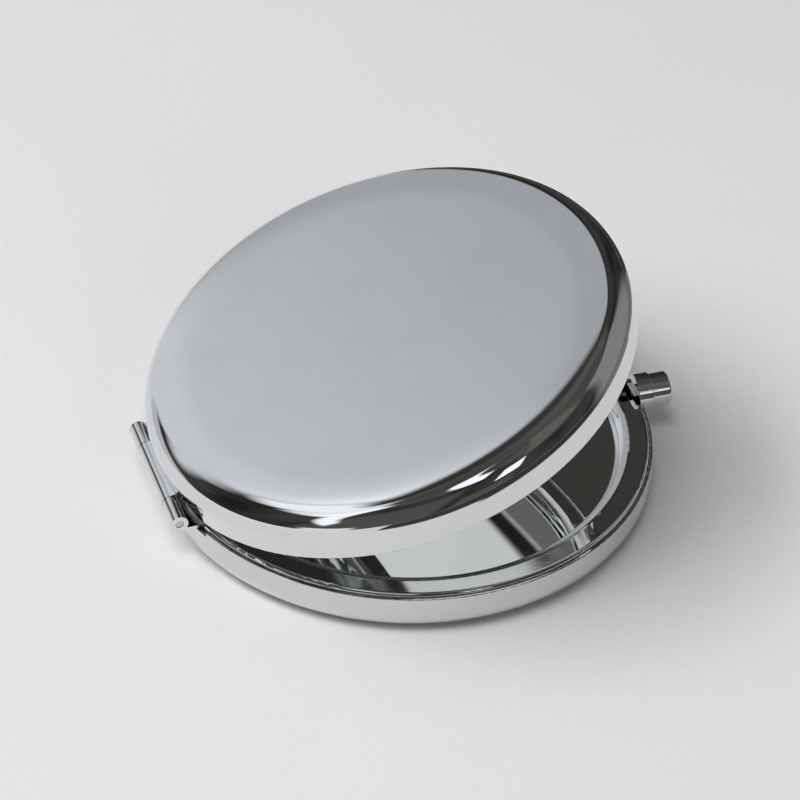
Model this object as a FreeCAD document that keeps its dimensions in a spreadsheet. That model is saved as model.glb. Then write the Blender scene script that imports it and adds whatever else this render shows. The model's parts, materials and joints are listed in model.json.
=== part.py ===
"""Round clamshell compact mirror: two pressed metal shells on a barrel hinge, a framed glass mirror in
each, and a sprung push button whose catch plate holds the lid's hook.

Millimetres and degrees. The origin is the centre of the base's flat underside, +Z up, the hinge on
the -X side and the button on the +X side. Lid pieces are drawn closed and then swung open.
"""

import FreeCAD
import Part
import Sketcher
import math
import os

SIZES = (
    # Both shells
    ("case_radius", 35.0, "outside of the shells"),
    ("shell_wall", 0.5, "sheet of the shells"),
    ("shell_height", 6.8, "rim to flat face, each shell"),
    ("crown_width", 5.2, "soft bend from the flat face to the skirt"),
    ("crown_radius", 15.0, "radius of that bend"),
    ("shoulder_radius", 3.4, "round shoulder, outside"),
    ("rim_round", 0.12, "rounding of the rim's edges"),
    ("parting_gap", 0.2, "between lid rim and base bead when closed"),
    ("base_rim_drop", 0.55, "base rim below that gap, where the bead shows"),
    ("lid_open_angle", 19.2, "how far the lid stands open at rest"),
    # Frames round the mirrors
    ("frame_wall", 0.4, "sheet of the frames"),
    ("frame_fit", 0.05, "frame to shell, radial"),
    ("frame_margin", 0.15, "frame's lower edge to the start of the shoulder"),
    ("bead_sink", 0.05, "parting gap to the face of the frame"),
    ("bead_radius", 0.5, "bead beside the rim"),
    ("roll_radius", 2.0, "rolled inner edge"),
    # Mirrors and the pads behind them
    ("glass_depth", 1.65, "parting gap to the glass"),
    ("glass_thickness", 1.6, "mirror glass"),
    ("glass_overlap", 0.5, "glass held under the frame"),
    ("glass_clearance", 0.2, "glass edge to the pushed-in catch plate"),
    ("dish_radius", 300.0, "curve of the magnifying glass"),
    ("pad_inset", 1.2, "pad edge inside the glass edge"),
    ("pad_fit", 0.02, "pad to glass and shell"),
    # Barrel hinge
    ("hinge_offset", 0.75, "hinge axis outside the shells"),
    ("barrel_length", 21.6, "all three knuckles"),
    ("middle_knuckle", 12.2, "length of the lid's knuckle"),
    ("knuckle_gap", 0.1, "between knuckles"),
    ("knuckle_radius", 1.25, "outside of the knuckles"),
    ("pin_radius", 0.6, "hinge pin"),
    ("pin_recess", 0.05, "pin ends inside the knuckle ends"),
    ("pin_round", 0.12, "rounding of the pin's ends"),
    ("pin_press", 0.01, "grip of the base knuckles on the pin"),
    ("pin_clearance", 0.04, "running fit of the lid's knuckle"),
    ("leaf_wall", 0.45, "sheet of the hinge leaves"),
    ("leaf_fit", 0.15, "leaf to shell, radial"),
    ("leaf_depth", 2.4, "height of the leaf's flange"),
    ("leaf_overrun", 0.1, "flange past the last knuckle"),
    ("web_inset", 0.05, "web inside the knuckle's tangent"),
    ("notch_clearance", 0.15, "shell notch to leaf"),
    ("notch_side", 1.8, "shell notch past the barrel"),
    ("frame_notch_clearance", 0.4, "frame to hinge leaf"),
    # Push button, along X at button_height
    ("button_drop", 0.3, "button axis below the parting gap"),
    ("button_travel", 1.0, "how far the button pushes in"),
    ("cap_radius", 2.5, "button cap"),
    ("cap_wall", 0.55, "side of the hollow cap"),
    ("cap_end", 0.75, "end of the hollow cap"),
    ("cap_round", 0.35, "rounding of the cap's end"),
    ("cap_reach", 4.3, "cap's end outside the shells"),
    ("shank_radius", 1.0, "button shank"),
    ("shank_clearance", 0.05, "shank in the collar"),
    ("rivet_neck", 0.65, "riveted end in the catch plate"),
    ("rivet_head", 0.9, "riveted head"),
    ("rivet_height", 0.1, "height of the riveted head"),
    ("collar_radius", 2.8, "outside of the collar"),
    ("collar_reach", 1.5, "collar's end outside the shells"),
    ("collar_inset", 0.75, "collar's inner end inside the shells"),
    ("collar_flange", 0.5, "collar's inner flange"),
    ("collar_round", 0.12, "rounding of the collar's edges"),
    ("collar_fit", 0.03, "collar in the base shell"),
    ("collar_swing", 0.2, "lid notch to collar"),
    ("cap_clearance", 0.05, "cap in the collar"),
    ("press_stop_gap", 0.2, "cap to flange when pushed in"),
    # Coil spring
    ("spring_wire", 0.35, "diameter of the wire"),
    ("spring_radius", 1.475, "centre of the wire"),
    ("spring_turns", 5.0, "number of turns"),
    ("spring_seat", 0.03, "spring to its seats"),
    # Catch plate and the lid's keeper
    ("plate_wall", 0.4, "sheet of plate and keeper"),
    ("plate_drop", 1.75, "underside of the plate below the button axis"),
    ("plate_half_width", 2.2, "half width of the plate"),
    ("plate_stop_gap", 0.05, "tab to collar at rest"),
    ("tab_half_width", 1.5, "half width of the upright tab"),
    ("tab_rise", 0.8, "tab above the button axis"),
    ("bar_width", 0.35, "bar at the window's inner end"),
    ("window_margin", 0.05, "window's outer end to the tab"),
    ("window_side", 0.2, "window to keeper, each side"),
    ("keeper_half_width", 1.2, "half width of the keeper's tongue"),
    ("keeper_clearance", 0.12, "hook to bar at rest"),
    ("keeper_room", 0.18, "tongue to the pushed-in rivet"),
    ("hook_length", 0.25, "keeper's hook"),
    ("hook_height", 0.4, "height of the hook"),
    ("hook_drop", 0.25, "hook below the plate"),
    ("foot_back", 0.6, "keeper's foot behind the tongue"),
    ("foot_front", 0.65, "keeper's foot before the tongue"),
    ("foot_side", 0.2, "keeper's foot past its rivets"),
    ("foot_fit", 0.03, "foot to the frame"),
    ("fastener_margin", 0.85, "keeper rivets from the frame slot"),
    ("fastener_shank", 0.35, "radius of a keeper rivet"),
    ("fastener_head", 0.6, "radius of its heads"),
    ("fastener_height", 0.1, "height of its heads"),
    ("fastener_round", 0.07, "rounding of its heads"),
    ("fastener_fit", 0.03, "rivet in its hole"),
    ("slot_margin", 0.2, "frame slot to tab, each side"),
    ("slot_end", 0.15, "frame slot past the hook"),
    # Cutting room past a surface
    ("overcut", 1.0, "how far a cutter runs past a face"),
)

FULL_TURN = 360.0
HALF = 0.5
BASE = -1
LID = 1


class Size:
    """A driving size, or a sum of sizes, that carries its value and its formula."""

    def __init__(self, value, formula):
        self.value = value
        self.formula = formula

    def __add__(self, other):
        other = as_size(other)
        return Size(self.value + other.value, f"({self.formula} + {other.formula})")

    def __sub__(self, other):
        other = as_size(other)
        return Size(self.value - other.value, f"({self.formula} - {other.formula})")

    def __mul__(self, other):
        other = as_size(other)
        return Size(self.value * other.value, f"({self.formula} * {other.formula})")

    def __truediv__(self, other):
        other = as_size(other)
        return Size(self.value / other.value, f"({self.formula} / {other.formula})")

    def __neg__(self):
        return Size(-self.value, f"(0 - {self.formula})")


def as_size(number):
    """A plain count or sign as a Size."""
    return number if isinstance(number, Size) else Size(float(number), repr(number))


def root(size):
    return Size(math.sqrt(size.value), f"sqrt({size.formula})")


def cosine(angle):
    return Size(math.cos(math.radians(angle.value)), f"cos({angle.formula})")


def sine(angle):
    return Size(math.sin(math.radians(angle.value)), f"sin({angle.formula})")


def arc_sine(ratio):
    return Size(math.degrees(math.asin(ratio.value)), f"asin({ratio.formula}) / 1 deg")


doc = FreeCAD.newDocument("compact_mirror")
sheet = doc.addObject("Spreadsheet::Sheet", "Sizes")
for row, (alias, number, meaning) in enumerate(SIZES, start=1):
    sheet.set(f"A{row}", alias)
    sheet.set(f"B{row}", str(number))
    sheet.set(f"C{row}", meaning)
    sheet.setAlias(f"B{row}", alias)
doc.recompute()

S = {alias: Size(float(sheet.get(alias)), f"Sizes.{alias}") for alias, _, _ in SIZES}
parts = []

# Sizes that several pieces share
half_gap = S["parting_gap"] * HALF
parting = S["shell_height"] + half_gap
bore_wall = S["case_radius"] - S["shell_wall"]
frame_outer = bore_wall - S["frame_fit"]
glass_back = S["glass_depth"] + S["glass_thickness"]
crown_start = S["case_radius"] - S["crown_width"]
shoulder_arm = S["crown_radius"] - S["shoulder_radius"]
shoulder_out = S["case_radius"] - S["shoulder_radius"] - crown_start
shoulder_rise = S["crown_radius"] - root(shoulder_arm * shoulder_arm - shoulder_out * shoulder_out)
frame_skirt = S["shell_height"] - shoulder_rise - S["frame_margin"]
hinge_x = -(S["case_radius"] + S["hinge_offset"])
leaf_outer = bore_wall - S["leaf_fit"]
leaf_inner = leaf_outer - S["leaf_wall"]
web_far = S["knuckle_radius"] - S["web_inset"]
web_near = web_far - S["leaf_wall"]
collar_inner = S["case_radius"] - S["collar_inset"]
collar_outer = S["case_radius"] + S["collar_reach"]
collar_seat = collar_inner + S["collar_flange"]
cap_face = S["case_radius"] + S["cap_reach"]
cap_bottom = cap_face - S["cap_end"]
cap_back = collar_seat + S["button_travel"] + S["press_stop_gap"]
cap_bore = S["cap_radius"] - S["cap_wall"]
button_height = S["shell_height"] - S["button_drop"]
plate_height = button_height - S["plate_drop"]

# The catch, from the collar inwards to the glass, which is as large as the catch leaves room for
tab_outer = collar_inner - S["plate_stop_gap"]
tab_inner = tab_outer - S["plate_wall"]
rivet_end = tab_inner - S["rivet_height"]
tongue_outer = rivet_end - S["button_travel"] - S["keeper_room"]
tongue_inner = tongue_outer - S["plate_wall"]
hook_tip = tongue_inner - S["hook_length"]
window_inner = hook_tip - S["keeper_clearance"]
plate_end = window_inner - S["bar_width"]
glass_radius = plate_end - S["button_travel"] - S["glass_clearance"]
window_radius = glass_radius - S["glass_overlap"]
hook_top = plate_height - S["hook_drop"]
hook_bottom = hook_top - S["hook_height"]
slot_half = S["tab_half_width"] + S["slot_margin"]
fastener_y = slot_half + S["fastener_margin"]
frame_under = S["bead_sink"] + S["frame_wall"]
roll_lift = S["roll_radius"] - (S["glass_depth"] - S["bead_sink"])
roll_hollow = S["roll_radius"] - S["frame_wall"]
roll_start = window_radius + root(S["roll_radius"] * S["roll_radius"] - roll_lift * roll_lift)
lip_back = roll_start - root(roll_hollow * roll_hollow - roll_lift * roll_lift)
notch_half = S["barrel_length"] * HALF + S["notch_side"]
dish_depth = S["dish_radius"] - root(S["dish_radius"] * S["dish_radius"] - glass_radius * glass_radius)


def height(side, depth):
    """Z of a point that lies depth behind the parting gap, in the base or in the closed lid."""
    return parting + (half_gap + depth) * side


def new_body(label):
    body = doc.addObject("PartDesign::Body", label)
    body.Label = label
    parts.append(body)
    return body


def origin_plane(body, role):
    return [feature for feature in body.Origin.OriginFeatures if feature.Role == role][0]


def new_sketch(body, name, role, offset=None, lift=None, shift=None):
    """A sketch on an origin plane, moved along its normal by offset, its Y by lift and its X by shift."""
    sketch = body.newObject("Sketcher::SketchObject", f"{body.Label}_{name}")
    sketch.AttachmentSupport = [(origin_plane(body, role), "")]
    sketch.MapMode = "FlatFace"
    if offset is not None:
        sketch.setExpression("AttachmentOffset.Base.z", offset.formula)
    if lift is not None:
        sketch.setExpression("AttachmentOffset.Base.y", lift.formula)
    if shift is not None:
        sketch.setExpression("AttachmentOffset.Base.x", shift.formula)
    return sketch


def pin_point(sketch, geometry, point, x, y):
    """Places a sketch point by its two distances from the sketch's origin; None lies on the axis."""
    for kind, size, axis in (("DistanceX", x, -2), ("DistanceY", y, -1)):
        if size is None:
            sketch.addConstraint(Sketcher.Constraint("PointOnObject", geometry, point, axis))
        else:
            index = sketch.addConstraint(Sketcher.Constraint(kind, -1, 1, geometry, point, size.value))
            sketch.setExpression(f"Constraints[{index}]", size.formula)


def vector(x, y):
    return FreeCAD.Vector(x.value if x else 0.0, y.value if y else 0.0, 0.0)


def outline(sketch, corners):
    """A closed outline. A corner is (x, y), or (x, y, radius, turn) where an arc runs to the next one:
    turn is 1 for an arc that bulges to the right of the way it runs, -1 for one that bulges left."""
    first = sketch.GeometryCount
    count = len(corners)
    for index, corner in enumerate(corners):
        following = corners[(index + 1) % count]
        start, end = vector(*corner[:2]), vector(*following[:2])
        if len(corner) == 2:
            sketch.addGeometry(Part.LineSegment(start, end))
            continue
        radius, turn = corner[2:]
        chord = end - start
        rise = radius.value - math.sqrt(radius.value**2 - (chord.Length * HALF) ** 2)
        across = FreeCAD.Vector(chord.y, -chord.x, 0.0).normalize()
        middle = (start + end) * HALF + across * (rise * turn)
        sketch.addGeometry(Part.Arc(start, middle, end))
    ends = []
    for index, corner in enumerate(corners):
        geometry = first + index
        at_start = sketch.getPoint(geometry, 1).distanceToPoint(vector(*corner[:2]))
        at_end = sketch.getPoint(geometry, 2).distanceToPoint(vector(*corner[:2]))
        ends.append((1, 2) if at_start <= at_end else (2, 1))
    for index, corner in enumerate(corners):
        geometry, following = first + index, first + (index + 1) % count
        joined = (geometry, ends[index][1], following, ends[(index + 1) % count][0])
        sketch.addConstraint(Sketcher.Constraint("Coincident", *joined))
        pin_point(sketch, geometry, ends[index][0], *corner[:2])
        if len(corner) > 2:
            number = sketch.addConstraint(Sketcher.Constraint("Radius", geometry, corner[2].value))
            sketch.setExpression(f"Constraints[{number}]", corner[2].formula)


def rectangle(sketch, x_low, x_high, y_low, y_high):
    outline(sketch, [(x_low, y_low), (x_high, y_low), (x_high, y_high), (x_low, y_high)])


def circle(sketch, x, y, radius):
    geometry = sketch.addGeometry(Part.Circle(vector(x, y), FreeCAD.Vector(0, 0, 1), radius.value))
    pin_point(sketch, geometry, 3, x, y)
    number = sketch.addConstraint(Sketcher.Constraint("Radius", geometry, radius.value))
    sketch.setExpression(f"Constraints[{number}]", radius.formula)


def extrude(body, kind, sketch, length, symmetric=False, backward=False):
    """A Pad or Pocket of the sketch. A Pocket has to take material away."""
    before = body.Shape.Volume if body.Tip else 0.0
    feature = body.newObject(f"PartDesign::{kind}", f"{sketch.Name}_{kind.lower()}")
    feature.Profile = sketch
    feature.Length = length.value
    feature.setExpression("Length", length.formula)
    feature.SideType = "Symmetric" if symmetric else "One side"
    feature.Reversed = backward
    doc.recompute()
    if kind == "Pocket" and not body.Shape.Volume < before:
        raise ValueError(f"{feature.Name} cuts nothing")
    return feature


def turn(body, kind, sketch, axis="V_Axis", angle=None):
    """A Revolution or Groove of the sketch, whole or as a sector with the sketch in its middle."""
    before = body.Shape.Volume if body.Tip else 0.0
    feature = body.newObject(f"PartDesign::{kind}", f"{sketch.Name}_{kind.lower()}")
    feature.Profile = sketch
    feature.ReferenceAxis = (sketch, [axis])
    feature.Angle = FULL_TURN
    if angle is not None:
        feature.Midplane = True
        feature.setExpression("Angle", angle.formula)
    doc.recompute()
    if kind == "Groove" and not body.Shape.Volume < before:
        raise ValueError(f"{feature.Name} cuts nothing")
    return feature


def round_edges(body, name, radius, rings, along="z"):
    """Rounds the circular edges with the given (radius, place along the axis) on the body so far."""
    doc.recompute()
    base = body.Tip
    tolerance = 1e-4
    chosen = []
    for number, edge in enumerate(base.Shape.Edges, start=1):
        if not isinstance(edge.Curve, Part.Circle):
            continue
        place = getattr(edge.Curve.Center, along)
        for ring, where in rings:
            if abs(edge.Curve.Radius - ring.value) < tolerance and abs(place - where.value) < tolerance:
                chosen.append(f"Edge{number}")
    if len(chosen) < len(rings):
        raise ValueError(f"{body.Label} {name}: an edge to round is missing")
    fillet = body.newObject("PartDesign::Fillet", f"{body.Label}_{name}")
    fillet.Base = (base, chosen)
    fillet.Radius = radius.value
    fillet.setExpression("Radius", radius.formula)
    doc.recompute()


def swing_open(piece):
    """Turns a closed lid piece about the hinge axis to where the lid stands at rest."""
    angle = S["lid_open_angle"]
    move_x = hinge_x - hinge_x * cosine(angle) + parting * sine(angle)
    move_z = parting - hinge_x * sine(angle) - parting * cosine(angle)
    turned = FreeCAD.Rotation(FreeCAD.Vector(0, -1, 0), angle.value)
    piece.Placement = FreeCAD.Placement(FreeCAD.Vector(move_x.value, 0, move_z.value), turned)
    piece.setExpression("Placement.Base.x", move_x.formula)
    piece.setExpression("Placement.Base.z", move_z.formula)
    piece.setExpression("Placement.Rotation.Angle", angle.formula)


def crown_drop(radius, edge):
    """How far the soft bend has fallen where it would meet a skirt at that edge."""
    width = edge - crown_start
    return radius - root(radius * radius - width * width)


def shell(label, side, rim):
    """A pressed dish: flat face, soft bend and round shoulder, straight skirt with a rounded rim."""
    body = new_body(label)
    outer, top, bend = S["case_radius"], S["shell_height"], S["crown_radius"]
    inner, floor = bore_wall, S["shell_height"] - S["shell_wall"]
    inside_bend = bend - S["shell_wall"]
    corner = height(side, top - crown_drop(bend, outer))
    inside_corner = height(side, floor - crown_drop(inside_bend, inner))
    profile = new_sketch(body, "profile", "XZ_Plane")
    outline(profile, [
        (None, height(side, top)),
        (crown_start, height(side, top), bend, -side),
        (outer, corner),
        (outer, height(side, rim)),
        (inner, height(side, rim)),
        (inner, inside_corner, inside_bend, side),
        (crown_start, height(side, floor)),
        (None, height(side, floor)),
    ])
    turn(body, "Revolution", profile)
    round_edges(body, "shoulder", S["shoulder_radius"], [(outer, corner)])
    inside = S["shoulder_radius"] - S["shell_wall"]
    round_edges(body, "shoulder_inside", inside, [(inner, inside_corner)])
    rims = [(outer, height(side, rim)), (inner, height(side, rim))]
    round_edges(body, "rim", S["rim_round"], rims)
    return body


def notch_shell(body, side, collar_gap):
    """Cuts the shell's skirt for the hinge at the back and for the button collar at the front."""
    hinge = new_sketch(body, "hinge_notch", "XZ_Plane")
    edge = parting + (web_far + S["notch_clearance"]) * side
    past_rim = parting - S["overcut"] * side
    low, high = (edge, past_rim) if side == BASE else (past_rim, edge)
    rectangle(hinge, hinge_x, -(bore_wall - S["overcut"]), low, high)
    turn(body, "Groove", hinge, angle=arc_sine(notch_half / bore_wall) * 2)
    front = new_sketch(body, "collar_notch", "YZ_Plane", offset=bore_wall - S["overcut"])
    circle(front, None, button_height, S["collar_radius"] + collar_gap)
    extrude(body, "Pocket", front, S["overcut"] * 2 + S["shell_wall"], backward=True)


def frame(label, side):
    """A pressed ring: bead beside the rim, flat face, inner edge rolled down to the glass."""
    body = new_body(label)
    wall = S["frame_wall"]
    outer, face = frame_outer, S["bead_sink"]
    profile = new_sketch(body, "profile", "XZ_Plane")
    places = [
        (outer, frame_skirt),
        (outer, face),
        (roll_start, face, S["roll_radius"], -side),
        (window_radius, S["glass_depth"]),
        (lip_back, S["glass_depth"], roll_hollow, side),
        (roll_start, frame_under),
        (outer - wall, frame_under),
        (outer - wall, frame_skirt),
    ]
    outline(profile, [(x, height(side, depth), *arc) for x, depth, *arc in places])
    turn(body, "Revolution", profile)
    round_edges(body, "bead", S["bead_radius"], [(outer, height(side, face))])

    latch = new_sketch(body, "latch_slot", "XY_Plane", offset=parting)
    narrow = slot_half
    wide = S["collar_radius"] + S["collar_swing"]
    start, step, end = hook_tip - S["slot_end"], tab_inner - S["slot_margin"], S["case_radius"]
    half = [(start, narrow), (step, narrow), (step, wide), (end, wide)]
    outline(latch, half + [(x, -y) for x, y in reversed(half)])
    extrude(body, "Pocket", latch, S["shell_height"] * 2, symmetric=True)

    hinge = new_sketch(body, "hinge_notch", "XZ_Plane")
    cut_inner = leaf_inner - S["frame_notch_clearance"]
    low, high = height(BASE, S["shell_height"]), height(LID, S["shell_height"])
    rectangle(hinge, -S["case_radius"], -cut_inner, low, high)
    half_barrel = S["barrel_length"] * HALF + S["leaf_overrun"] + S["frame_notch_clearance"]
    turn(body, "Groove", hinge, angle=arc_sine(half_barrel / cut_inner) * 2)
    return body


def plain_mirror(label, side):
    """A flat disc of mirror glass."""
    body = new_body(label)
    profile = new_sketch(body, "profile", "XZ_Plane")
    front, back = height(side, S["glass_depth"]), height(side, glass_back)
    outline(profile, [(None, front), (glass_radius, front), (glass_radius, back), (None, back)])
    turn(body, "Revolution", profile)
    return body


def magnifying_mirror(label, side):
    """A disc of mirror glass dished to a shallow sphere, so that it magnifies."""
    body = new_body(label)
    profile = new_sketch(body, "profile", "XZ_Plane")
    front, back = S["glass_depth"], glass_back
    curve = S["dish_radius"]
    outline(profile, [
        (None, height(side, front + dish_depth), curve, -side),
        (glass_radius, height(side, front)),
        (glass_radius, height(side, back), curve, side),
        (None, height(side, back + dish_depth)),
    ])
    turn(body, "Revolution", profile)
    return body


def pad(label, side, front):
    """The foam disc between the back of a mirror, which lies at the depth front, and the shell."""
    body = new_body(label)
    profile = new_sketch(body, "profile", "XZ_Plane")
    edge = glass_radius - S["pad_inset"]
    near = height(side, front + S["pad_fit"])
    far = height(side, S["shell_height"] - S["shell_wall"] - S["pad_fit"])
    outline(profile, [(None, near), (edge, near), (edge, far), (None, far)])
    turn(body, "Revolution", profile)
    return body


def hinge_leaf(label, side, length, bore):
    """A curved flange inside the skirt, a web out through the notch, and the rolled knuckle."""
    body = new_body(label)
    flange = new_sketch(body, "flange", "XZ_Plane")
    near, far = parting + web_near * side, parting + (web_near + S["leaf_depth"]) * side
    low, high = (far, near) if side == BASE else (near, far)
    rectangle(flange, -leaf_outer, -leaf_inner, low, high)
    reach = length * HALF + S["leaf_overrun"]
    turn(body, "Revolution", flange, angle=arc_sine(reach / leaf_inner) * 2)

    web = new_sketch(body, "web", "XZ_Plane")
    tangent = parting + web_far * side
    low, high = (tangent, near) if side == BASE else (near, tangent)
    inner_end = root(leaf_inner * leaf_inner - reach * reach)
    rectangle(web, hinge_x, -inner_end, low, high)
    extrude(body, "Pad", web, length, symmetric=True)

    barrel = new_sketch(body, "knuckle", "XZ_Plane")
    circle(barrel, hinge_x, parting, S["knuckle_radius"])
    extrude(body, "Pad", barrel, length, symmetric=True)

    trim = new_sketch(body, "trim", "XY_Plane", offset=parting)
    circle(trim, None, None, leaf_inner)
    extrude(body, "Pocket", trim, S["shell_height"] * 2, symmetric=True)

    if side == BASE:
        gap = new_sketch(body, "middle_gap", "XZ_Plane")
        clear = S["knuckle_radius"] + S["overcut"]
        rectangle(gap, hinge_x - clear, -leaf_outer, parting - clear, parting + clear)
        extrude(body, "Pocket", gap, S["middle_knuckle"] + S["knuckle_gap"] * 2, symmetric=True)

    hole = new_sketch(body, "bore", "XZ_Plane")
    circle(hole, hinge_x, parting, bore)
    extrude(body, "Pocket", hole, length + S["overcut"], symmetric=True)
    return body


def hinge_pin(label):
    """The straight pin, its ends rounded and just inside the outer knuckles."""
    body = new_body(label)
    section = new_sketch(body, "section", "XZ_Plane")
    circle(section, hinge_x, parting, S["pin_radius"])
    length = S["barrel_length"] - S["pin_recess"] * 2
    extrude(body, "Pad", section, length, symmetric=True)
    ends = [(S["pin_radius"], length * HALF), (S["pin_radius"], length * -HALF)]
    round_edges(body, "ends", S["pin_round"], ends, along="y")
    return body


def button_profile(body):
    """A sketch whose X runs along the button's axis."""
    return new_sketch(body, "profile", "XZ_Plane", lift=button_height)


def button_collar(label):
    """The short tube in the rim: bored for the cap, with an inner flange for the shank and spring."""
    body = new_body(label)
    profile = button_profile(body)
    hole = S["shank_radius"] + S["shank_clearance"]
    guide = S["cap_radius"] + S["cap_clearance"]
    outline(profile, [
        (collar_inner, hole),
        (collar_inner, S["collar_radius"]),
        (collar_outer, S["collar_radius"]),
        (collar_outer, guide),
        (collar_seat, guide),
        (collar_seat, hole),
    ])
    turn(body, "Revolution", profile, axis="H_Axis")
    ends = [(S["collar_radius"], collar_outer), (S["collar_radius"], collar_inner)]
    round_edges(body, "edges", S["collar_round"], ends, along="x")
    return body


def push_button(label):
    """The hollow cap with its shank, riveted over at the inner end."""
    body = new_body(label)
    profile = button_profile(body)
    outline(profile, [
        (rivet_end, None),
        (rivet_end, S["rivet_head"]),
        (tab_inner, S["rivet_head"]),
        (tab_inner, S["rivet_neck"]),
        (tab_outer, S["rivet_neck"]),
        (tab_outer, S["shank_radius"]),
        (cap_bottom, S["shank_radius"]),
        (cap_bottom, cap_bore),
        (cap_back, cap_bore),
        (cap_back, S["cap_radius"]),
        (cap_face, S["cap_radius"]),
        (cap_face, None),
    ])
    turn(body, "Revolution", profile, axis="H_Axis")
    round_edges(body, "face", S["cap_round"], [(S["cap_radius"], cap_face)], along="x")
    return body


def catch_plate(label):
    """The bent plate on the shank: a flat part with a window, and an upright tab behind the collar."""
    body = new_body(label)
    flat = new_sketch(body, "flat", "XY_Plane", offset=plate_height)
    half_width = S["plate_half_width"]
    rectangle(flat, plate_end, tab_outer, -half_width, half_width)
    side = S["keeper_half_width"] + S["window_side"]
    rectangle(flat, window_inner, tab_inner - S["window_margin"], -side, side)
    extrude(body, "Pad", flat, S["plate_wall"])
    upright = new_sketch(body, "tab", "YZ_Plane", offset=tab_inner)
    half_tab = S["tab_half_width"]
    top = button_height + S["tab_rise"]
    rectangle(upright, -half_tab, half_tab, plate_height, top)
    extrude(body, "Pad", upright, S["plate_wall"])
    hole = new_sketch(body, "hole", "YZ_Plane", offset=tab_inner - S["overcut"])
    circle(hole, None, button_height, S["rivet_neck"] + S["shank_clearance"])
    extrude(body, "Pocket", hole, S["plate_wall"] + S["overcut"] * 2, backward=True)
    return body


def lid_keeper(label):
    """The hook: a foot on the hidden side of the lid's frame and a tongue down through its slot."""
    body = new_body(label)
    foot = new_sketch(body, "foot", "XZ_Plane")
    inner, outer = tongue_inner - S["foot_back"], tongue_outer + S["foot_front"]
    near = height(LID, frame_under + S["foot_fit"])
    rectangle(foot, inner, outer, near, near + S["plate_wall"])
    foot_reach = fastener_y + S["fastener_head"] + S["foot_side"]
    turn(body, "Revolution", foot, angle=arc_sine(foot_reach / inner) * 2)

    tongue = new_sketch(body, "tongue", "XZ_Plane")
    root_height = near + S["plate_wall"] * HALF
    outline(tongue, [
        (hook_tip, hook_bottom),
        (tongue_outer, hook_bottom),
        (tongue_outer, root_height),
        (tongue_inner, root_height),
        (tongue_inner, hook_top),
        (hook_tip, hook_top),
    ])
    extrude(body, "Pad", tongue, S["keeper_half_width"] * 2, symmetric=True)
    return body


def drill_fasteners(body):
    """The two rivet holes through the lid's frame or the keeper's foot."""
    holes = new_sketch(body, "rivet_holes", "XY_Plane", offset=parting)
    for y in (fastener_y, -fastener_y):
        circle(holes, tongue_inner, y, S["fastener_shank"] + S["fastener_fit"])
    extrude(body, "Pocket", holes, S["shell_height"], backward=True)


def keeper_rivets(label):
    """Two upright rivets, headed over the frame's face and over the keeper's foot."""
    body = new_body(label)
    body.AllowCompound = True
    profile = new_sketch(body, "profile", "XZ_Plane", offset=-fastener_y, shift=tongue_inner)
    face_seat = S["bead_sink"] - S["fastener_fit"]
    foot_seat = frame_under + S["foot_fit"] + S["plate_wall"] + S["fastener_fit"]
    face_top, foot_top = face_seat - S["fastener_height"], foot_seat + S["fastener_height"]
    places = [
        (None, face_top),
        (S["fastener_head"], face_top),
        (S["fastener_head"], face_seat),
        (S["fastener_shank"], face_seat),
        (S["fastener_shank"], foot_seat),
        (S["fastener_head"], foot_seat),
        (S["fastener_head"], foot_top),
        (None, foot_top),
    ]
    outline(profile, [(x, height(LID, depth)) for x, depth in places])
    turn(body, "Revolution", profile)
    heads = [(S["fastener_head"], height(LID, face_top)), (S["fastener_head"], height(LID, foot_top))]
    round_edges(body, "heads", S["fastener_round"], heads)
    pair = body.newObject("PartDesign::Mirrored", f"{label}_pair")
    pair.TransformMode = "Whole shape"
    pair.MirrorPlane = (origin_plane(body, "XZ_Plane"), [""])
    body.Tip = pair
    doc.recompute()
    return body


def biarc(start, heading, end, end_heading):
    """Two arcs that join two points smoothly with the given unit headings."""
    span = end - start
    total = heading + end_heading
    a = 2.0 * (1.0 - heading.dot(end_heading))
    b = 2.0 * span.dot(total)
    c = -span.dot(span)
    reach = (-b + math.sqrt(b * b - 4.0 * a * c)) / (2.0 * a)
    joint = (start + heading * reach + end - end_heading * reach) * HALF
    arcs = []
    for first, last, tangent in ((start, joint, heading), (joint, end, joint - (start + heading * reach))):
        unit = FreeCAD.Vector(tangent).normalize()
        chord = last - first
        along = chord.dot(unit)
        sideways = chord - unit * along
        radius = chord.dot(chord) / (2.0 * sideways.Length)
        centre = first + FreeCAD.Vector(sideways).normalize() * radius
        middle = centre + ((first + last) * HALF - centre).normalize() * radius
        arcs.append(Part.Arc(first, middle, last).toShape())
    return arcs


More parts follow.
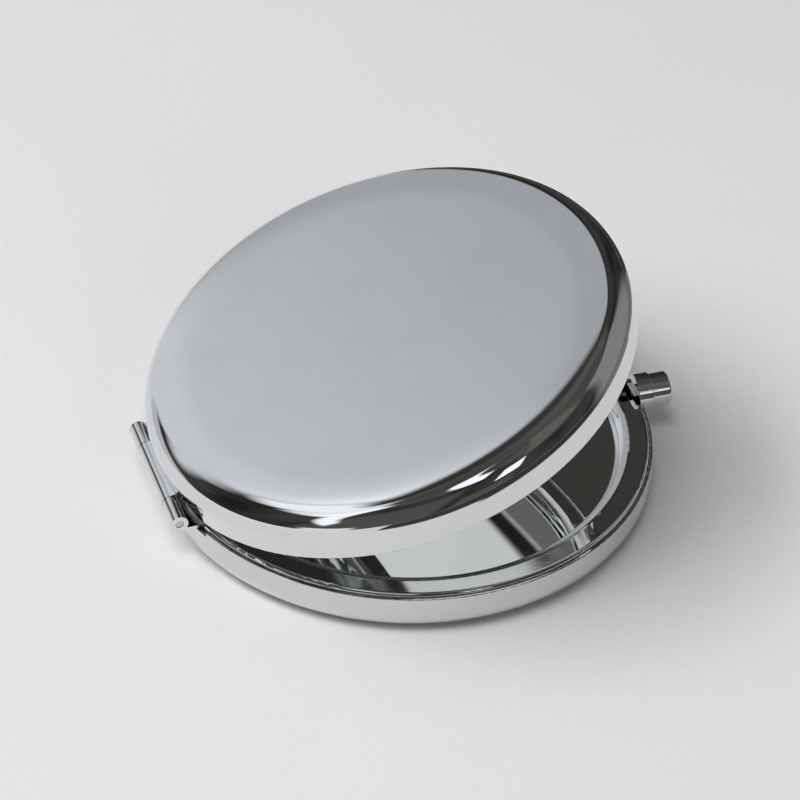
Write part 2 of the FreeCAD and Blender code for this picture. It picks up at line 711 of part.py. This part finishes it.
def button_spring(label):
    """The coil spring as one unbroken wire, in quarter turns."""
    steps_per_turn = 4
    wire_radius = S["spring_wire"].value * HALF
    coil = S["spring_radius"].value
    start_x = collar_seat.value + S["spring_seat"].value + wire_radius
    end_x = cap_bottom.value - S["spring_seat"].value - wire_radius
    steps = round(S["spring_turns"].value * steps_per_turn)
    pitch = (end_x - start_x) / S["spring_turns"].value
    axis_z = button_height.value

    def point(turns):
        angle = 2.0 * math.pi * turns
        return FreeCAD.Vector(start_x + pitch * turns, coil * math.cos(angle), axis_z + coil * math.sin(angle))

    def heading(turns):
        angle = 2.0 * math.pi * turns
        around = 2.0 * math.pi * coil
        return FreeCAD.Vector(pitch, -around * math.sin(angle), around * math.cos(angle)).normalize()

    edges = []
    for step in range(steps):
        here, there = step / steps_per_turn, (step + 1) / steps_per_turn
        edges += biarc(point(here), heading(here), point(there), heading(there))
    path = Part.Wire(edges)
    section = Part.Wire([Part.makeCircle(wire_radius, point(0.0), heading(0.0))])
    solid = path.makePipeShell([section], True, False)
    if solid.Volume < 0:
        solid.reverse()
    print(f"{label}: least gap between turns {pitch - S['spring_wire'].value:.3f} mm")
    spring = doc.addObject("Part::Feature", label)
    spring.Label = label
    spring.Shape = solid
    spring.Placement = FreeCAD.Placement()
    parts.append(spring)
    return spring


# Base half
notch_shell(shell("base_shell", BASE, S["base_rim_drop"]), BASE, S["collar_fit"])
frame("base_frame", BASE)
plain_mirror("base_mirror", BASE)
pad("base_mirror_pad", BASE, glass_back)
hinge_leaf("base_hinge_leaf", BASE, S["barrel_length"], S["pin_radius"] - S["pin_press"])
hinge_pin("hinge_pin")
button_collar("button_collar")

# Button
push_button("push_button")
catch_plate("catch_plate")
button_spring("button_spring")

# Lid half, drawn closed and swung open
first_lid_piece = len(parts)
notch_shell(shell("lid_shell", LID, as_size(0)), LID, S["collar_swing"])
drill_fasteners(frame("lid_frame", LID))
magnifying_mirror("lid_mirror", LID)
pad("lid_mirror_pad", LID, glass_back + dish_depth)
hinge_leaf("lid_hinge_leaf", LID, S["middle_knuckle"], S["pin_radius"] + S["pin_clearance"])
drill_fasteners(lid_keeper("lid_keeper"))
keeper_rivets("keeper_rivets")
for lid_piece in parts[first_lid_piece:]:
    swing_open(lid_piece)

doc.recompute()
for item in doc.Objects:
    if "Invalid" in item.State or "Error" in item.State:
        raise ValueError(f"{item.Name} failed: {item.State}")
SOLIDS = {"keeper_rivets": 2}
for part in parts:
    if part.Shape.isNull() or not part.Shape.isValid() or len(part.Shape.Solids) != SOLIDS.get(part.Label, 1):
        raise ValueError(f"{part.Label} is not sound")

os.makedirs("parts", exist_ok=True)
for part in parts:
    part.Shape.exportStep(f"parts/{part.Label}.step")
    print(f"{part.Label}: {part.Shape.Volume:.2f} mm3")
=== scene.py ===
"""Looks of the round compact mirror: bright plated shells, framed glasses, barrel hinge and push button.

Metres, in the part's own frame: origin under the middle of the base, +Z up, hinge at -X, button at +X.
"""

import json
import math

import bpy
from mathutils import Matrix, Vector


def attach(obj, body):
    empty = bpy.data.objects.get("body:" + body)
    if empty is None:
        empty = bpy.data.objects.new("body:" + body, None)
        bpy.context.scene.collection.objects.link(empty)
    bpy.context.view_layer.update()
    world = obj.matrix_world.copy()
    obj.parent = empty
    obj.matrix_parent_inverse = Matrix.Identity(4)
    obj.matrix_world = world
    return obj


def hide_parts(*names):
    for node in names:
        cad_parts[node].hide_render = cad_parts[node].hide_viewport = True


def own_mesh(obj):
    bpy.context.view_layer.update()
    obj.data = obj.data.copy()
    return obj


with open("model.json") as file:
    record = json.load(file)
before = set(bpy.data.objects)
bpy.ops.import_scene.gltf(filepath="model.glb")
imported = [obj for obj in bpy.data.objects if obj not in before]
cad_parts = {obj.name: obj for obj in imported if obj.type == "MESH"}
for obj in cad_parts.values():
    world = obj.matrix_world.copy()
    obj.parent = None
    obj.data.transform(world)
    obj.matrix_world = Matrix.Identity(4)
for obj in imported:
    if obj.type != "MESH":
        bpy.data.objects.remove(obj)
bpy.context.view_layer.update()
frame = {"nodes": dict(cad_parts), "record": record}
nodes = frame["nodes"]
scene = bpy.context.scene
MM = 0.001

# Hinge, from the record's joints
joints = {joint["name"]: joint for joint in frame["record"]["behaviour"]["joints"]}
HINGE = Vector(joints["lid_hinge"]["pos_m"])
OPEN_ANGLE = math.radians(-joints["lid_hinge"]["range_deg"][0])

# Sizes of the shells and of the dished glass
SHELL_HEIGHT = 6.8 * MM
PARTING_GAP = 0.2 * MM
CASE_RADIUS = 35.0 * MM
CROWN_WIDTH = 5.2 * MM
CROWN_RADIUS = 15.0 * MM
SHOULDER_RADIUS = 3.4 * MM
GLASS_DEPTH = 1.65 * MM
GLASS_RADIUS = 30.2 * MM
DISH_RADIUS = 300.0 * MM

# What follows from them: crown and shoulder meet at one slope
LID_FACE = 2.0 * SHELL_HEIGHT + PARTING_GAP
CROWN_START = CASE_RADIUS - CROWN_WIDTH
SHOULDER_CENTRE = CASE_RADIUS - SHOULDER_RADIUS
SHOULDER_ARM = CROWN_RADIUS - SHOULDER_RADIUS
CROWN_ANGLE = math.asin((SHOULDER_CENTRE - CROWN_START) / SHOULDER_ARM)
SHOULDER_START = SHOULDER_CENTRE + SHOULDER_RADIUS * math.sin(CROWN_ANGLE)
SHOULDER_DEPTH = CROWN_RADIUS - SHOULDER_ARM * math.cos(CROWN_ANGLE)

# The looks bend the faces a little earlier than the solids do
BEND_START = 26.0 * MM

# Colours of the metals
CHROME = (0.77, 0.78, 0.79, 1.0)
# Painted shade: the base shell is the same plating as the lid, tinted darker to stand in for the dimmer
# light its skirt mirrors
SHADED_BASE_CHROME = (0.70, 0.71, 0.72, 1.0)
COLLAR_CHROME = (0.70, 0.70, 0.70, 1.0)
BUTTON_CHROME = (0.72, 0.71, 0.70, 1.0)
STEEL = (0.56, 0.55, 0.54, 1.0)


class Shader:
    """A node tree with short calls for the few kinds of node used here."""

    def __init__(self, tree):
        self.tree = tree
        self.tree.nodes.clear()

    def node(self, kind, **settings):
        made = self.tree.nodes.new(kind)
        for name, value in settings.items():
            setattr(made, name, value)
        return made

    def feed(self, socket, value):
        """Links an output socket, or sets a constant."""
        if isinstance(value, bpy.types.NodeSocket):
            self.tree.links.new(value, socket)
        else:
            socket.default_value = value

    def math(self, operation, first, second=0.0, third=0.0):
        made = self.node("ShaderNodeMath", operation=operation)
        for socket, value in zip(made.inputs, (first, second, third)):
            self.feed(socket, value)
        return made.outputs[0]

    def vector(self, operation, *values):
        made = self.node("ShaderNodeVectorMath", operation=operation)
        for socket, value in zip(made.inputs, values):
            self.feed(socket, value)
        return made.outputs

    def axes(self, vector):
        parts = self.node("ShaderNodeSeparateXYZ")
        self.feed(parts.inputs[0], vector)
        return parts.outputs

    def hypotenuse(self, first, second):
        squares = self.math("MULTIPLY_ADD", first, first, self.math("MULTIPLY", second, second))
        return self.math("SQRT", squares)

    def turned(self, first, second, angle):
        """First times the angle's cosine plus second times its sine."""
        beside = self.math("MULTIPLY", second, math.sin(angle))
        return self.math("MULTIPLY_ADD", first, math.cos(angle), beside)

    def blend(self, factor, first, second):
        return self.math("MULTIPLY_ADD", factor, self.math("SUBTRACT", second, first), first)

    def spread(self, value, low, high, to_low=0.0, to_high=1.0, smooth=True):
        made = self.node("ShaderNodeMapRange")
        made.interpolation_type = "SMOOTHSTEP" if smooth else "LINEAR"
        for socket, given in zip(made.inputs, (value, low, high, to_low, to_high)):
            self.feed(socket, given)
        return made.outputs[0]

    def noise(self, vector, scale, detail, roughness):
        made = self.node("ShaderNodeTexNoise")
        self.feed(made.inputs["Vector"], vector)
        self.feed(made.inputs["Scale"], scale)
        self.feed(made.inputs["Detail"], detail)
        self.feed(made.inputs["Roughness"], roughness)
        return made.outputs["Fac"]

    def mix(self, factor, first, second):
        made = self.node("ShaderNodeMix", data_type="RGBA")
        self.feed(made.inputs["Factor"], factor)
        self.feed(made.inputs["A"], first)
        self.feed(made.inputs["B"], second)
        return made.outputs["Result"]

    def stretch(self, vector, scale):
        made = self.node("ShaderNodeMapping")
        self.feed(made.inputs["Vector"], vector)
        self.feed(made.inputs["Scale"], scale)
        return made.outputs["Vector"]

    def bump(self, height, strength, distance, normal=None):
        made = self.node("ShaderNodeBump")
        self.feed(made.inputs["Height"], height)
        self.feed(made.inputs["Strength"], strength)
        self.feed(made.inputs["Distance"], distance)
        if normal is not None:
            self.feed(made.inputs["Normal"], normal)
        return made.outputs["Normal"]

    def principled(self, colour, roughness, metallic=0.0, normal=None):
        made = self.node("ShaderNodeBsdfPrincipled")
        self.feed(made.inputs["Base Color"], colour)
        self.feed(made.inputs["Roughness"], roughness)
        self.feed(made.inputs["Metallic"], metallic)
        if normal is not None:
            self.feed(made.inputs["Normal"], normal)
        self.finish(made, "ShaderNodeOutputMaterial")

    def finish(self, shader, output):
        self.feed(self.node(output).inputs["Surface"], shader.outputs[0])


def new_material(name):
    """An empty material, its node tree, and the place on the piece, which moves with the piece."""
    material = bpy.data.materials.new(name)
    material.use_nodes = True
    s = Shader(material.node_tree)
    return material, s, s.node("ShaderNodeTexCoord").outputs["Object"]


def settled(s, exact, agreement):
    """An exact normal in place of the mesh's own, wherever the cosine between them passes agreement."""
    moved = s.node("ShaderNodeVectorTransform", vector_type="NORMAL")
    moved.convert_from, moved.convert_to = "OBJECT", "WORLD"
    s.feed(moved.inputs[0], s.vector("NORMALIZE", exact)["Vector"])
    own = s.node("ShaderNodeNewGeometry").outputs["Normal"]
    cosine = s.vector("DOT_PRODUCT", own, moved.outputs[0])["Value"]
    return s.mix(s.math("GREATER_THAN", cosine, agreement), own, moved.outputs[0])


def shell_normal(s, place, open_angle, face, up):
    """Normal of a shell's outside: a face that bends softly before its edge, round shoulder, skirt."""
    x, y, z = s.axes(place)
    arm, rise = s.math("SUBTRACT", x, HINGE.x), s.math("SUBTRACT", z, HINGE.z)
    across = s.math("ADD", s.turned(arm, rise, open_angle), HINGE.x)
    height = s.math("ADD", s.turned(rise, arm, -open_angle), HINGE.z)
    radius = s.hypotenuse(across, y)

    bend = s.spread(radius, BEND_START, SHOULDER_START, smooth=False)
    face_out = s.math("MULTIPLY", s.math("MULTIPLY", bend, bend), math.tan(CROWN_ANGLE))
    shoulder_out = s.math("SUBTRACT", radius, SHOULDER_CENTRE)
    shoulder_up = s.math("MAXIMUM", s.math("MULTIPLY_ADD", height, up, SHOULDER_DEPTH - face * up), 0.0)
    on_shoulder = s.math("GREATER_THAN", radius, SHOULDER_START)
    out = s.blend(on_shoulder, face_out, shoulder_out)
    rising = s.blend(on_shoulder, 1.0, shoulder_up)

    along_x = s.math("MULTIPLY", out, s.math("DIVIDE", across, radius))
    along_y = s.math("MULTIPLY", out, s.math("DIVIDE", y, radius))
    along_z = s.math("MULTIPLY", rising, up)
    joined = s.node("ShaderNodeCombineXYZ")
    s.feed(joined.inputs["X"], s.turned(along_x, along_z, -open_angle))
    s.feed(joined.inputs["Y"], along_y)
    s.feed(joined.inputs["Z"], s.turned(along_z, along_x, open_angle))
    return settled(s, joined.outputs[0], agreement=0.98)


def dish_centre():
    """Centre of the lid glass's front, a sphere that dips from the glass's edge, with the lid open."""
    dip = DISH_RADIUS - math.sqrt(DISH_RADIUS**2 - GLASS_RADIUS**2)
    deepest = SHELL_HEIGHT + PARTING_GAP + GLASS_DEPTH + dip
    closed = Vector((0.0, 0.0, deepest - DISH_RADIUS))
    return HINGE + Matrix.Rotation(-OPEN_ANGLE, 3, "Y") @ (closed - HINGE)


def plated(name, tint, roughness, smudge, scratch, shell=None):
    """Bright plating: fine wipe marks in the roughness, faint smudges in the tint, hair scratches."""
    material, s, place = new_material(name)
    cloud = s.noise(place, scale=90.0, detail=4.0, roughness=0.6)
    wipe = s.noise(s.stretch(place, (1.0, 7.0, 1.0)), scale=420.0, detail=3.0, roughness=0.6)
    hair = s.noise(s.stretch(place, (2.0, 40.0, 6.0)), scale=260.0, detail=2.0, roughness=0.4)
    dull = (*(channel * 0.97 for channel in tint[:3]), 1.0)
    marks = s.math("MULTIPLY", s.spread(cloud, 0.4, 0.75), s.spread(wipe, 0.35, 0.75))
    s.principled(
        colour=s.mix(s.spread(cloud, 0.42, 0.72), tint, dull),
        roughness=s.math("MULTIPLY_ADD", marks, smudge, roughness),
        metallic=1.0,
        normal=s.bump(hair, scratch, 0.01 * MM, shell_normal(s, place, *shell) if shell else None),
    )
    return material


def silvered(name, centre=None):
    """Mirror glass: a clean silver layer with a faint green cast and a few dust specks."""
    material, s, place = new_material(name)
    dust = s.spread(s.noise(place, scale=900.0, detail=2.0, roughness=0.5), 0.68, 0.74)
    film = s.noise(place, scale=60.0, detail=3.0, roughness=0.5)
    clean, hazed = (0.86, 0.88, 0.87, 1.0), (0.80, 0.82, 0.81, 1.0)
    dished = None
    if centre is not None:
        dished = settled(s, s.vector("SUBTRACT", centre, place)["Vector"], agreement=0.9)
    s.principled(
        colour=s.mix(s.spread(film, 0.4, 0.7), clean, hazed),
        roughness=s.math("MULTIPLY_ADD", dust, 0.02, 0.012),
        metallic=1.0,
        normal=dished,
    )
    return material


def foam(name):
    """Dark closed-cell foam."""
    material, s, place = new_material(name)
    cells = s.node("ShaderNodeTexVoronoi")
    s.feed(cells.inputs["Vector"], place)
    s.feed(cells.inputs["Scale"], 1800.0)
    wall = cells.outputs["Distance"]
    dark, light = (0.035, 0.035, 0.037, 1.0), (0.09, 0.09, 0.092, 1.0)
    s.principled(
        colour=s.mix(wall, dark, light),
        roughness=0.95,
        normal=s.bump(wall, strength=0.6, distance=0.1 * MM),
    )
    return material


# Metals by slot: colour, roughness, what smudges add to it, strength of the scratches
METALS = {
    "frame_chrome": (CHROME, 0.025, 0.05, 0.05),
    "hinge_chrome": (CHROME, 0.05, 0.10, 0.10),
    "collar_chrome": (COLLAR_CHROME, 0.08, 0.10, 0.10),
    "button_chrome": (BUTTON_CHROME, 0.08, 0.12, 0.12),
    "pin_steel": (STEEL, 0.2, 0.15, 0.25),
    "spring_steel": (STEEL, 0.25, 0.15, 0.2),
    "catch_steel": (STEEL, 0.2, 0.15, 0.2),
    "rivet_steel": (STEEL, 0.2, 0.15, 0.2),
}
# Shells: angle each is open by, height of its face when closed, and 1 or -1 for a face up or down
BASE_SHELL = (0.0, 0.0, -1.0)
LID_SHELL = (OPEN_ANGLE, LID_FACE, 1.0)

looks = {slot: plated(slot + "_look", *metal) for slot, metal in METALS.items()}
# The base shell's darker tint is painted shade, not a different metal
looks["base_shell"] = plated("base_shell_look", SHADED_BASE_CHROME, 0.04, 0.09, 0.08, BASE_SHELL)
looks["lid_shell"] = plated("lid_shell_look", CHROME, 0.02, 0.05, 0.04, LID_SHELL)
looks["lid_mirror"] = silvered("lid_glass_look", dish_centre())
looks["mirror_glass"] = silvered("mirror_glass_look")
looks["pad_foam"] = foam("pad_foam_look")

# A node takes the look of its own name, or else that of its slot
slot_of = {row["node"]: row["material_slot"] for row in frame["record"]["subparts"]}
for name, node in nodes.items():
    for material_slot in node.material_slots:
        material_slot.link = "OBJECT"
        material_slot.material = looks.get(name) or looks[slot_of[name]]


def coil():
    """The button's spring: a copy in spring steel that stays on the collar's seat, with the base."""
    mesh = nodes["button_spring"].data.copy()
    mesh.materials.clear()
    mesh.materials.append(looks["spring_steel"])
    piece = bpy.data.objects.new("coil_spring", mesh)
    scene.collection.objects.link(piece)
    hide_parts("button_spring")
    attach(piece, "base")
    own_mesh(piece)


def floor():
    """A plain pale floor with a faint woven grain, a hair below the part."""
    material, s, place = new_material("floor_look")
    grain = s.noise(place, scale=900.0, detail=3.0, roughness=0.6)
    drift = s.noise(place, scale=14.0, detail=2.0, roughness=0.5)
    shade = s.math("MULTIPLY_ADD", grain, 0.5, s.math("MULTIPLY", drift, 0.5))
    s.principled(
        colour=s.mix(shade, (0.76, 0.755, 0.75, 1.0), (0.86, 0.86, 0.86, 1.0)),
        roughness=0.9,
        normal=s.bump(grain, strength=0.25, distance=0.2 * MM),
    )
    half, drop = 1.5, 0.05 * MM
    mesh = bpy.data.meshes.new("floor")
    corners = [(-half, -half, 0.0), (half, -half, 0.0), (half, half, 0.0), (-half, half, 0.0)]
    mesh.from_pydata(corners, [], [(0, 1, 2, 3)])
    mesh.materials.append(material)
    plane = bpy.data.objects.new("floor", mesh)
    plane.location.z = -drop
    scene.collection.objects.link(plane)


def direction(azimuth, elevation):
    """Unit vector, azimuth from +X towards +Y, elevation above the floor, in degrees."""
    a, e = math.radians(azimuth), math.radians(elevation)
    return Vector((math.cos(a) * math.cos(e), math.sin(a) * math.cos(e), math.sin(e)))


def lamp(name, azimuth, elevation, width, height, power, distance=1.2):
    """A soft rectangular lamp that faces the part; the plating mirrors the room's windows instead of it."""
    light = bpy.data.lights.new(name, "AREA")
    light.shape = "RECTANGLE"
    light.size, light.size_y = width, height
    light.energy = power
    holder = bpy.data.objects.new(name, light)
    away = direction(azimuth, elevation)
    holder.location = away * distance
    holder.rotation_mode = "QUATERNION"
    holder.rotation_quaternion = away.to_track_quat("Z", "Y")
    holder.visible_glossy = False
    scene.collection.objects.link(holder)


def flag_look():
    """Pale like the floor near the part, then dark in front, grey on the right, striped at the back."""
    material, s, place = new_material("flag_look")
    x, y, _ = s.axes(place)
    azimuth = s.math("DEGREES", s.math("ARCTAN2", y, x))
    strip_x, strip_y = 0.496, 0.868
    slant = s.math("MULTIPLY_ADD", x, strip_x, s.math("MULTIPLY", y, strip_y))

    # Pale are a disc on the right, the left up to a front edge, and the back up to a slanting edge
    disc_x, disc_y, disc_radius = 33.0 * MM, -12.0 * MM, 55.5 * MM
    front_y, right_x, back_y, back_edge = -80.0 * MM, 10.0 * MM, 15.0 * MM, 67.5 * MM
    ring = s.hypotenuse(s.math("SUBTRACT", x, disc_x), s.math("SUBTRACT", y, disc_y))
    front = s.math("MAXIMUM", s.math("SUBTRACT", front_y, y), s.math("SUBTRACT", x, right_x))
    past = s.math("MINIMUM", s.math("SUBTRACT", ring, disc_radius), front)
    behind = s.math("MAXIMUM", s.math("SUBTRACT", back_y, y), s.math("SUBTRACT", slant, back_edge))
    cover = s.math("MINIMUM", s.spread(past, 0.0, 8.0 * MM), s.spread(behind, 0.0, 1.0 * MM))

    grain = s.noise(place, scale=300.0, detail=3.0, roughness=0.6)
    pale, light, black = (0.8, 0.8, 0.8, 1.0), (0.42, 0.42, 0.42, 1.0), (0.016, 0.017, 0.017, 1.0)
    dark = s.mix(grain, (0.03, 0.029, 0.028, 1.0), (0.07, 0.067, 0.064, 1.0))
    grey = s.mix(grain, (0.20, 0.20, 0.20, 1.0), (0.26, 0.26, 0.26, 1.0))
    brown = s.mix(grain, (0.15, 0.147, 0.14, 1.0), (0.19, 0.186, 0.178, 1.0))

    # From the back edge outwards: black, a thin light line, brown, dark
    line_starts = s.spread(slant, 69.6 * MM, 70.1 * MM)
    line_ends = s.spread(slant, 70.2 * MM, 70.5 * MM, 1.0, 0.0)
    strips = s.mix(s.spread(slant, 70.3 * MM, 70.5 * MM), black, brown)
    strips = s.mix(s.math("MULTIPLY", line_starts, line_ends), strips, light)
    strips = s.mix(s.spread(slant, 80.0 * MM, 88.0 * MM), strips, dark)

    at_back = s.spread(azimuth, 31.0, 34.0)
    on_right = s.math("MULTIPLY", s.spread(azimuth, -26.0, -10.0), s.math("SUBTRACT", 1.0, at_back))
    shade = s.mix(at_back, s.mix(on_right, dark, grey), strips)
    shader = s.node("ShaderNodeBsdfDiffuse")
    s.feed(shader.inputs["Color"], s.mix(cover, pale, shade))
    s.finish(shader, "ShaderNodeOutputMaterial")
    return material


def flag():
    """Cards lying around the front and right of the floor, seen only as reflections."""
    first, last, steps = math.radians(-118.0), math.radians(76.0), 48
    inner, outer = 0.05, 0.9
    points, faces = [], []
    for step in range(steps + 1):
        turn = first + (last - first) * step / steps
        for radius in (inner, outer):
            points.append((radius * math.cos(turn), radius * math.sin(turn), 0.0))
    for step in range(steps):
        faces.append((2 * step, 2 * step + 1, 2 * step + 3, 2 * step + 2))
    mesh = bpy.data.meshes.new("flag")
    mesh.from_pydata(points, [], faces)
    mesh.materials.append(flag_look())
    card = bpy.data.objects.new("flag", mesh)
    for kind in ("camera", "diffuse", "shadow", "transmission", "volume_scatter"):
        setattr(card, "visible_" + kind, False)
    scene.collection.objects.link(card)


def room():
    """Surroundings for the reflections: dark streaky walls with paler panels and soft-edged windows.

    Angles are in degrees. The camera itself sees a plain pale grey past the floor.
    """
    world = bpy.data.worlds.new("room")
    world.use_nodes = True
    scene.world = world
    s = Shader(world.node_tree)
    way = s.node("ShaderNodeTexCoord").outputs["Generated"]
    x, y, z = s.axes(way)
    # Azimuths run from 180 below this one to 180 above it, and jump in a dim stretch at the front
    middle = 86.0
    along = s.turned(x, y, math.radians(middle))
    aside = s.turned(y, x, -math.radians(middle))
    azimuth = s.math("ADD", s.math("DEGREES", s.math("ARCTAN2", aside, along)), middle)
    elevation = s.math("DEGREES", s.math("ARCSINE", z))

    def panel(sides, heights, soft, level, slope=0.0):
        """Light level of one panel, whose heights change by slope along its width."""
        (start, end), (low, high), (soft_side, soft_edge) = sides, heights, soft
        left = s.spread(azimuth, start - soft_side, start + soft_side)
        right = s.spread(azimuth, end - soft_side, end + soft_side, 1.0, 0.0)
        height = elevation
        if slope:
            offset = s.math("SUBTRACT", azimuth, (start + end) / 2)
            height = s.math("MULTIPLY_ADD", offset, -slope, elevation)
        under = s.spread(height, low - soft_edge, low + soft_edge)
        over = s.spread(height, high - soft_edge, high + soft_edge, 1.0, 0.0)
        inside = s.math("MULTIPLY", s.math("MULTIPLY", left, right), s.math("MULTIPLY", under, over))
        return s.math("MULTIPLY", inside, level)

    glow = s.math("MULTIPLY", s.spread(azimuth, 108.0, 124.0), s.spread(elevation, 39.0, 49.0))
    pale_wall = s.math("MULTIPLY_ADD", glow, 0.42, s.spread(azimuth, 97.0, 111.0, 0.44, 0.72))
    sheen = s.spread(azimuth, 138.0, 182.0, 0.85, 1.25)
    panels = {
        "back_wall": panel((79.0, 122.0), (-10.0, 53.0), (3.0, 2.0), pale_wall),
        "back_wall_foot": panel((112.0, 158.0), (-40.0, 11.7), (6.0, 3.0), 0.56, -0.57),
        "back_wall_end": panel((110.0, 138.0), (28.0, 39.0), (9.0, 5.0), 0.72, -0.75),
        "window_start": panel((121.0, 152.0), (47.0, 56.0), (2.0, 2.0), 1.1, 0.3),
        "window": panel((140.0, 180.0), (46.0, 61.0), (4.0, 2.0), sheen),
        "window_end": panel((174.0, 206.0), (34.0, 46.0), (3.0, 3.0), 1.2, -1.05),
        "low_window": panel((202.0, 224.0), (-5.0, 7.0), (3.0, 1.5), 0.9),
        "ceiling_lamp": panel((202.0, 262.0), (62.5, 73.0), (3.0, 1.5), 1.25, -0.29),
        "left_wall": panel((195.0, 260.0), (-20.0, 50.0), (8.0, 10.0), 0.085),
        "front_window": panel((-80.5, -67.5), (24.0, 44.0), (1.0, 1.0), 1.25),
        "front_wall": panel((-96.0, -66.0), (-20.0, 18.0), (4.0, 4.0), 0.09),
        "right_wall": panel((-17.0, 33.0), (-40.0, 57.0), (7.0, 2.5), 0.25),
        "ceiling_edge": panel((-75.0, -20.0), (46.0, 100.0), (14.0, 8.0), 0.13),
    }
    streaks = s.noise(s.stretch(way, (3.2, 3.2, 0.7)), scale=1.0, detail=2.0, roughness=0.5)
    ceiling = s.spread(elevation, 56.0, 62.0, 0.0, 0.045)
    total = s.math("ADD", s.spread(streaks, 0.32, 0.68, 0.014, 0.05), ceiling)
    for level in panels.values():
        total = s.math("MAXIMUM", level, total)

    shown = s.node("ShaderNodeBackground")
    warm, cool = (1.06, 1.0, 0.93, 1.0), (0.965, 0.99, 1.035, 1.0)
    s.feed(shown.inputs["Color"], s.mix(s.spread(total, 0.12, 0.4), warm, cool))
    s.feed(shown.inputs["Strength"], total)
    plain = s.node("ShaderNodeBackground")
    s.feed(plain.inputs["Color"], (0.8, 0.8, 0.8, 1.0))
    pick = s.node("ShaderNodeMixShader")
    s.feed(pick.inputs[0], s.node("ShaderNodeLightPath").outputs["Is Camera Ray"])
    s.feed(pick.inputs[1], shown.outputs[0])
    s.feed(pick.inputs[2], plain.outputs[0])
    s.finish(pick, "ShaderNodeOutputWorld")


def camera():
    """The photo's view: a long lens from the front left, a little tilted."""
    azimuth, elevation, roll = (math.radians(angle) for angle in (-19.388, 38.721, 2.424))
    away = 638.357 * MM
    shift_right, shift_up = -0.551 * MM, 5.973 * MM
    target = Vector((0.0, 0.0, 5.0 * MM))
    back = Vector((
        math.sin(azimuth) * math.cos(elevation),
        -math.cos(azimuth) * math.cos(elevation),
        math.sin(elevation),
    ))
    level = (-back).cross(Vector((0.0, 0.0, 1.0))).normalized()
    upright = level.cross(-back)
    right = level * math.cos(roll) + upright * math.sin(roll)
    up = upright * math.cos(roll) - level * math.sin(roll)
    data = bpy.data.cameras.new("camera")
    data.sensor_width = 36.0
    data.lens = 204.369
    data.clip_start, data.clip_end = 0.01, 20.0
    holder = bpy.data.objects.new("camera", data)
    turned = Matrix((right, up, back)).transposed().to_4x4()
    place = back * away + target + right * shift_right + up * shift_up
    holder.matrix_world = Matrix.Translation(place) @ turned
    scene.collection.objects.link(holder)
    scene.camera = holder


coil()
floor()
room()
flag()
lamp("key_window", azimuth=168.0, elevation=49.0, width=1.1, height=0.4, power=8.0)
lamp("ceiling_lamp", azimuth=-140.0, elevation=68.0, width=0.8, height=0.4, power=5.5)
lamp("front_window", azimuth=-74.0, elevation=33.0, width=0.28, height=0.5, power=0.6)
camera()
scene.view_settings.view_transform = "Standard"
# The two glasses mirror each other, so paths between them need more bounces
scene.cycles.glossy_bounces = 8
